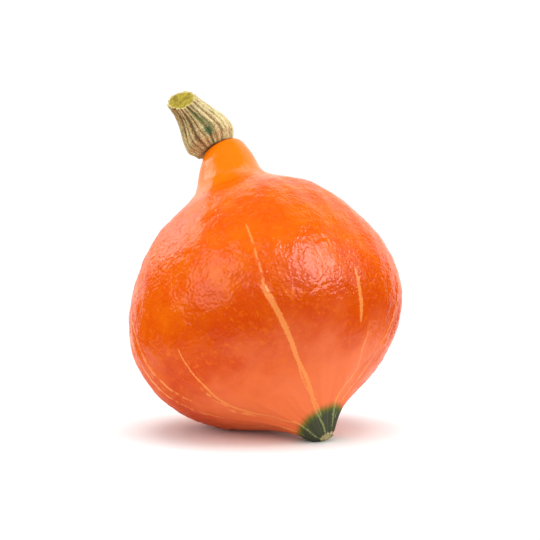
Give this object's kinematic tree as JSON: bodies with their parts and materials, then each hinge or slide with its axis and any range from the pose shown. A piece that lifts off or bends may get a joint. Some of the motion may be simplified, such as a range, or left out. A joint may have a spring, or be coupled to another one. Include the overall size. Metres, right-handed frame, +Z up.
{
  "type": "red kuri squash",
  "caption": "Onion-shaped orange winter squash lying on its belly, with a short neck, a corky ribbed stalk and a dark green blossom tip.",
  "frame": {"origin": "middle of the small flat spot under the belly that the squash rests on", "axes": "+Z up, away from the surface that it lies on; the neck and stalk lean towards -X and the blossom tip points towards +X"},
  "size_m": [0.1418, 0.1435, 0.175],
  "materials": {
    "skin": "smooth waxy squash skin, orange with pale streaks and a dark green tip",
    "stalk": "dry corky straw-coloured stalk with ribs"
  },
  "bodies": {
    "root": {"fruit": "skin", "stalk": "stalk"}
  },
  "joints": []
}
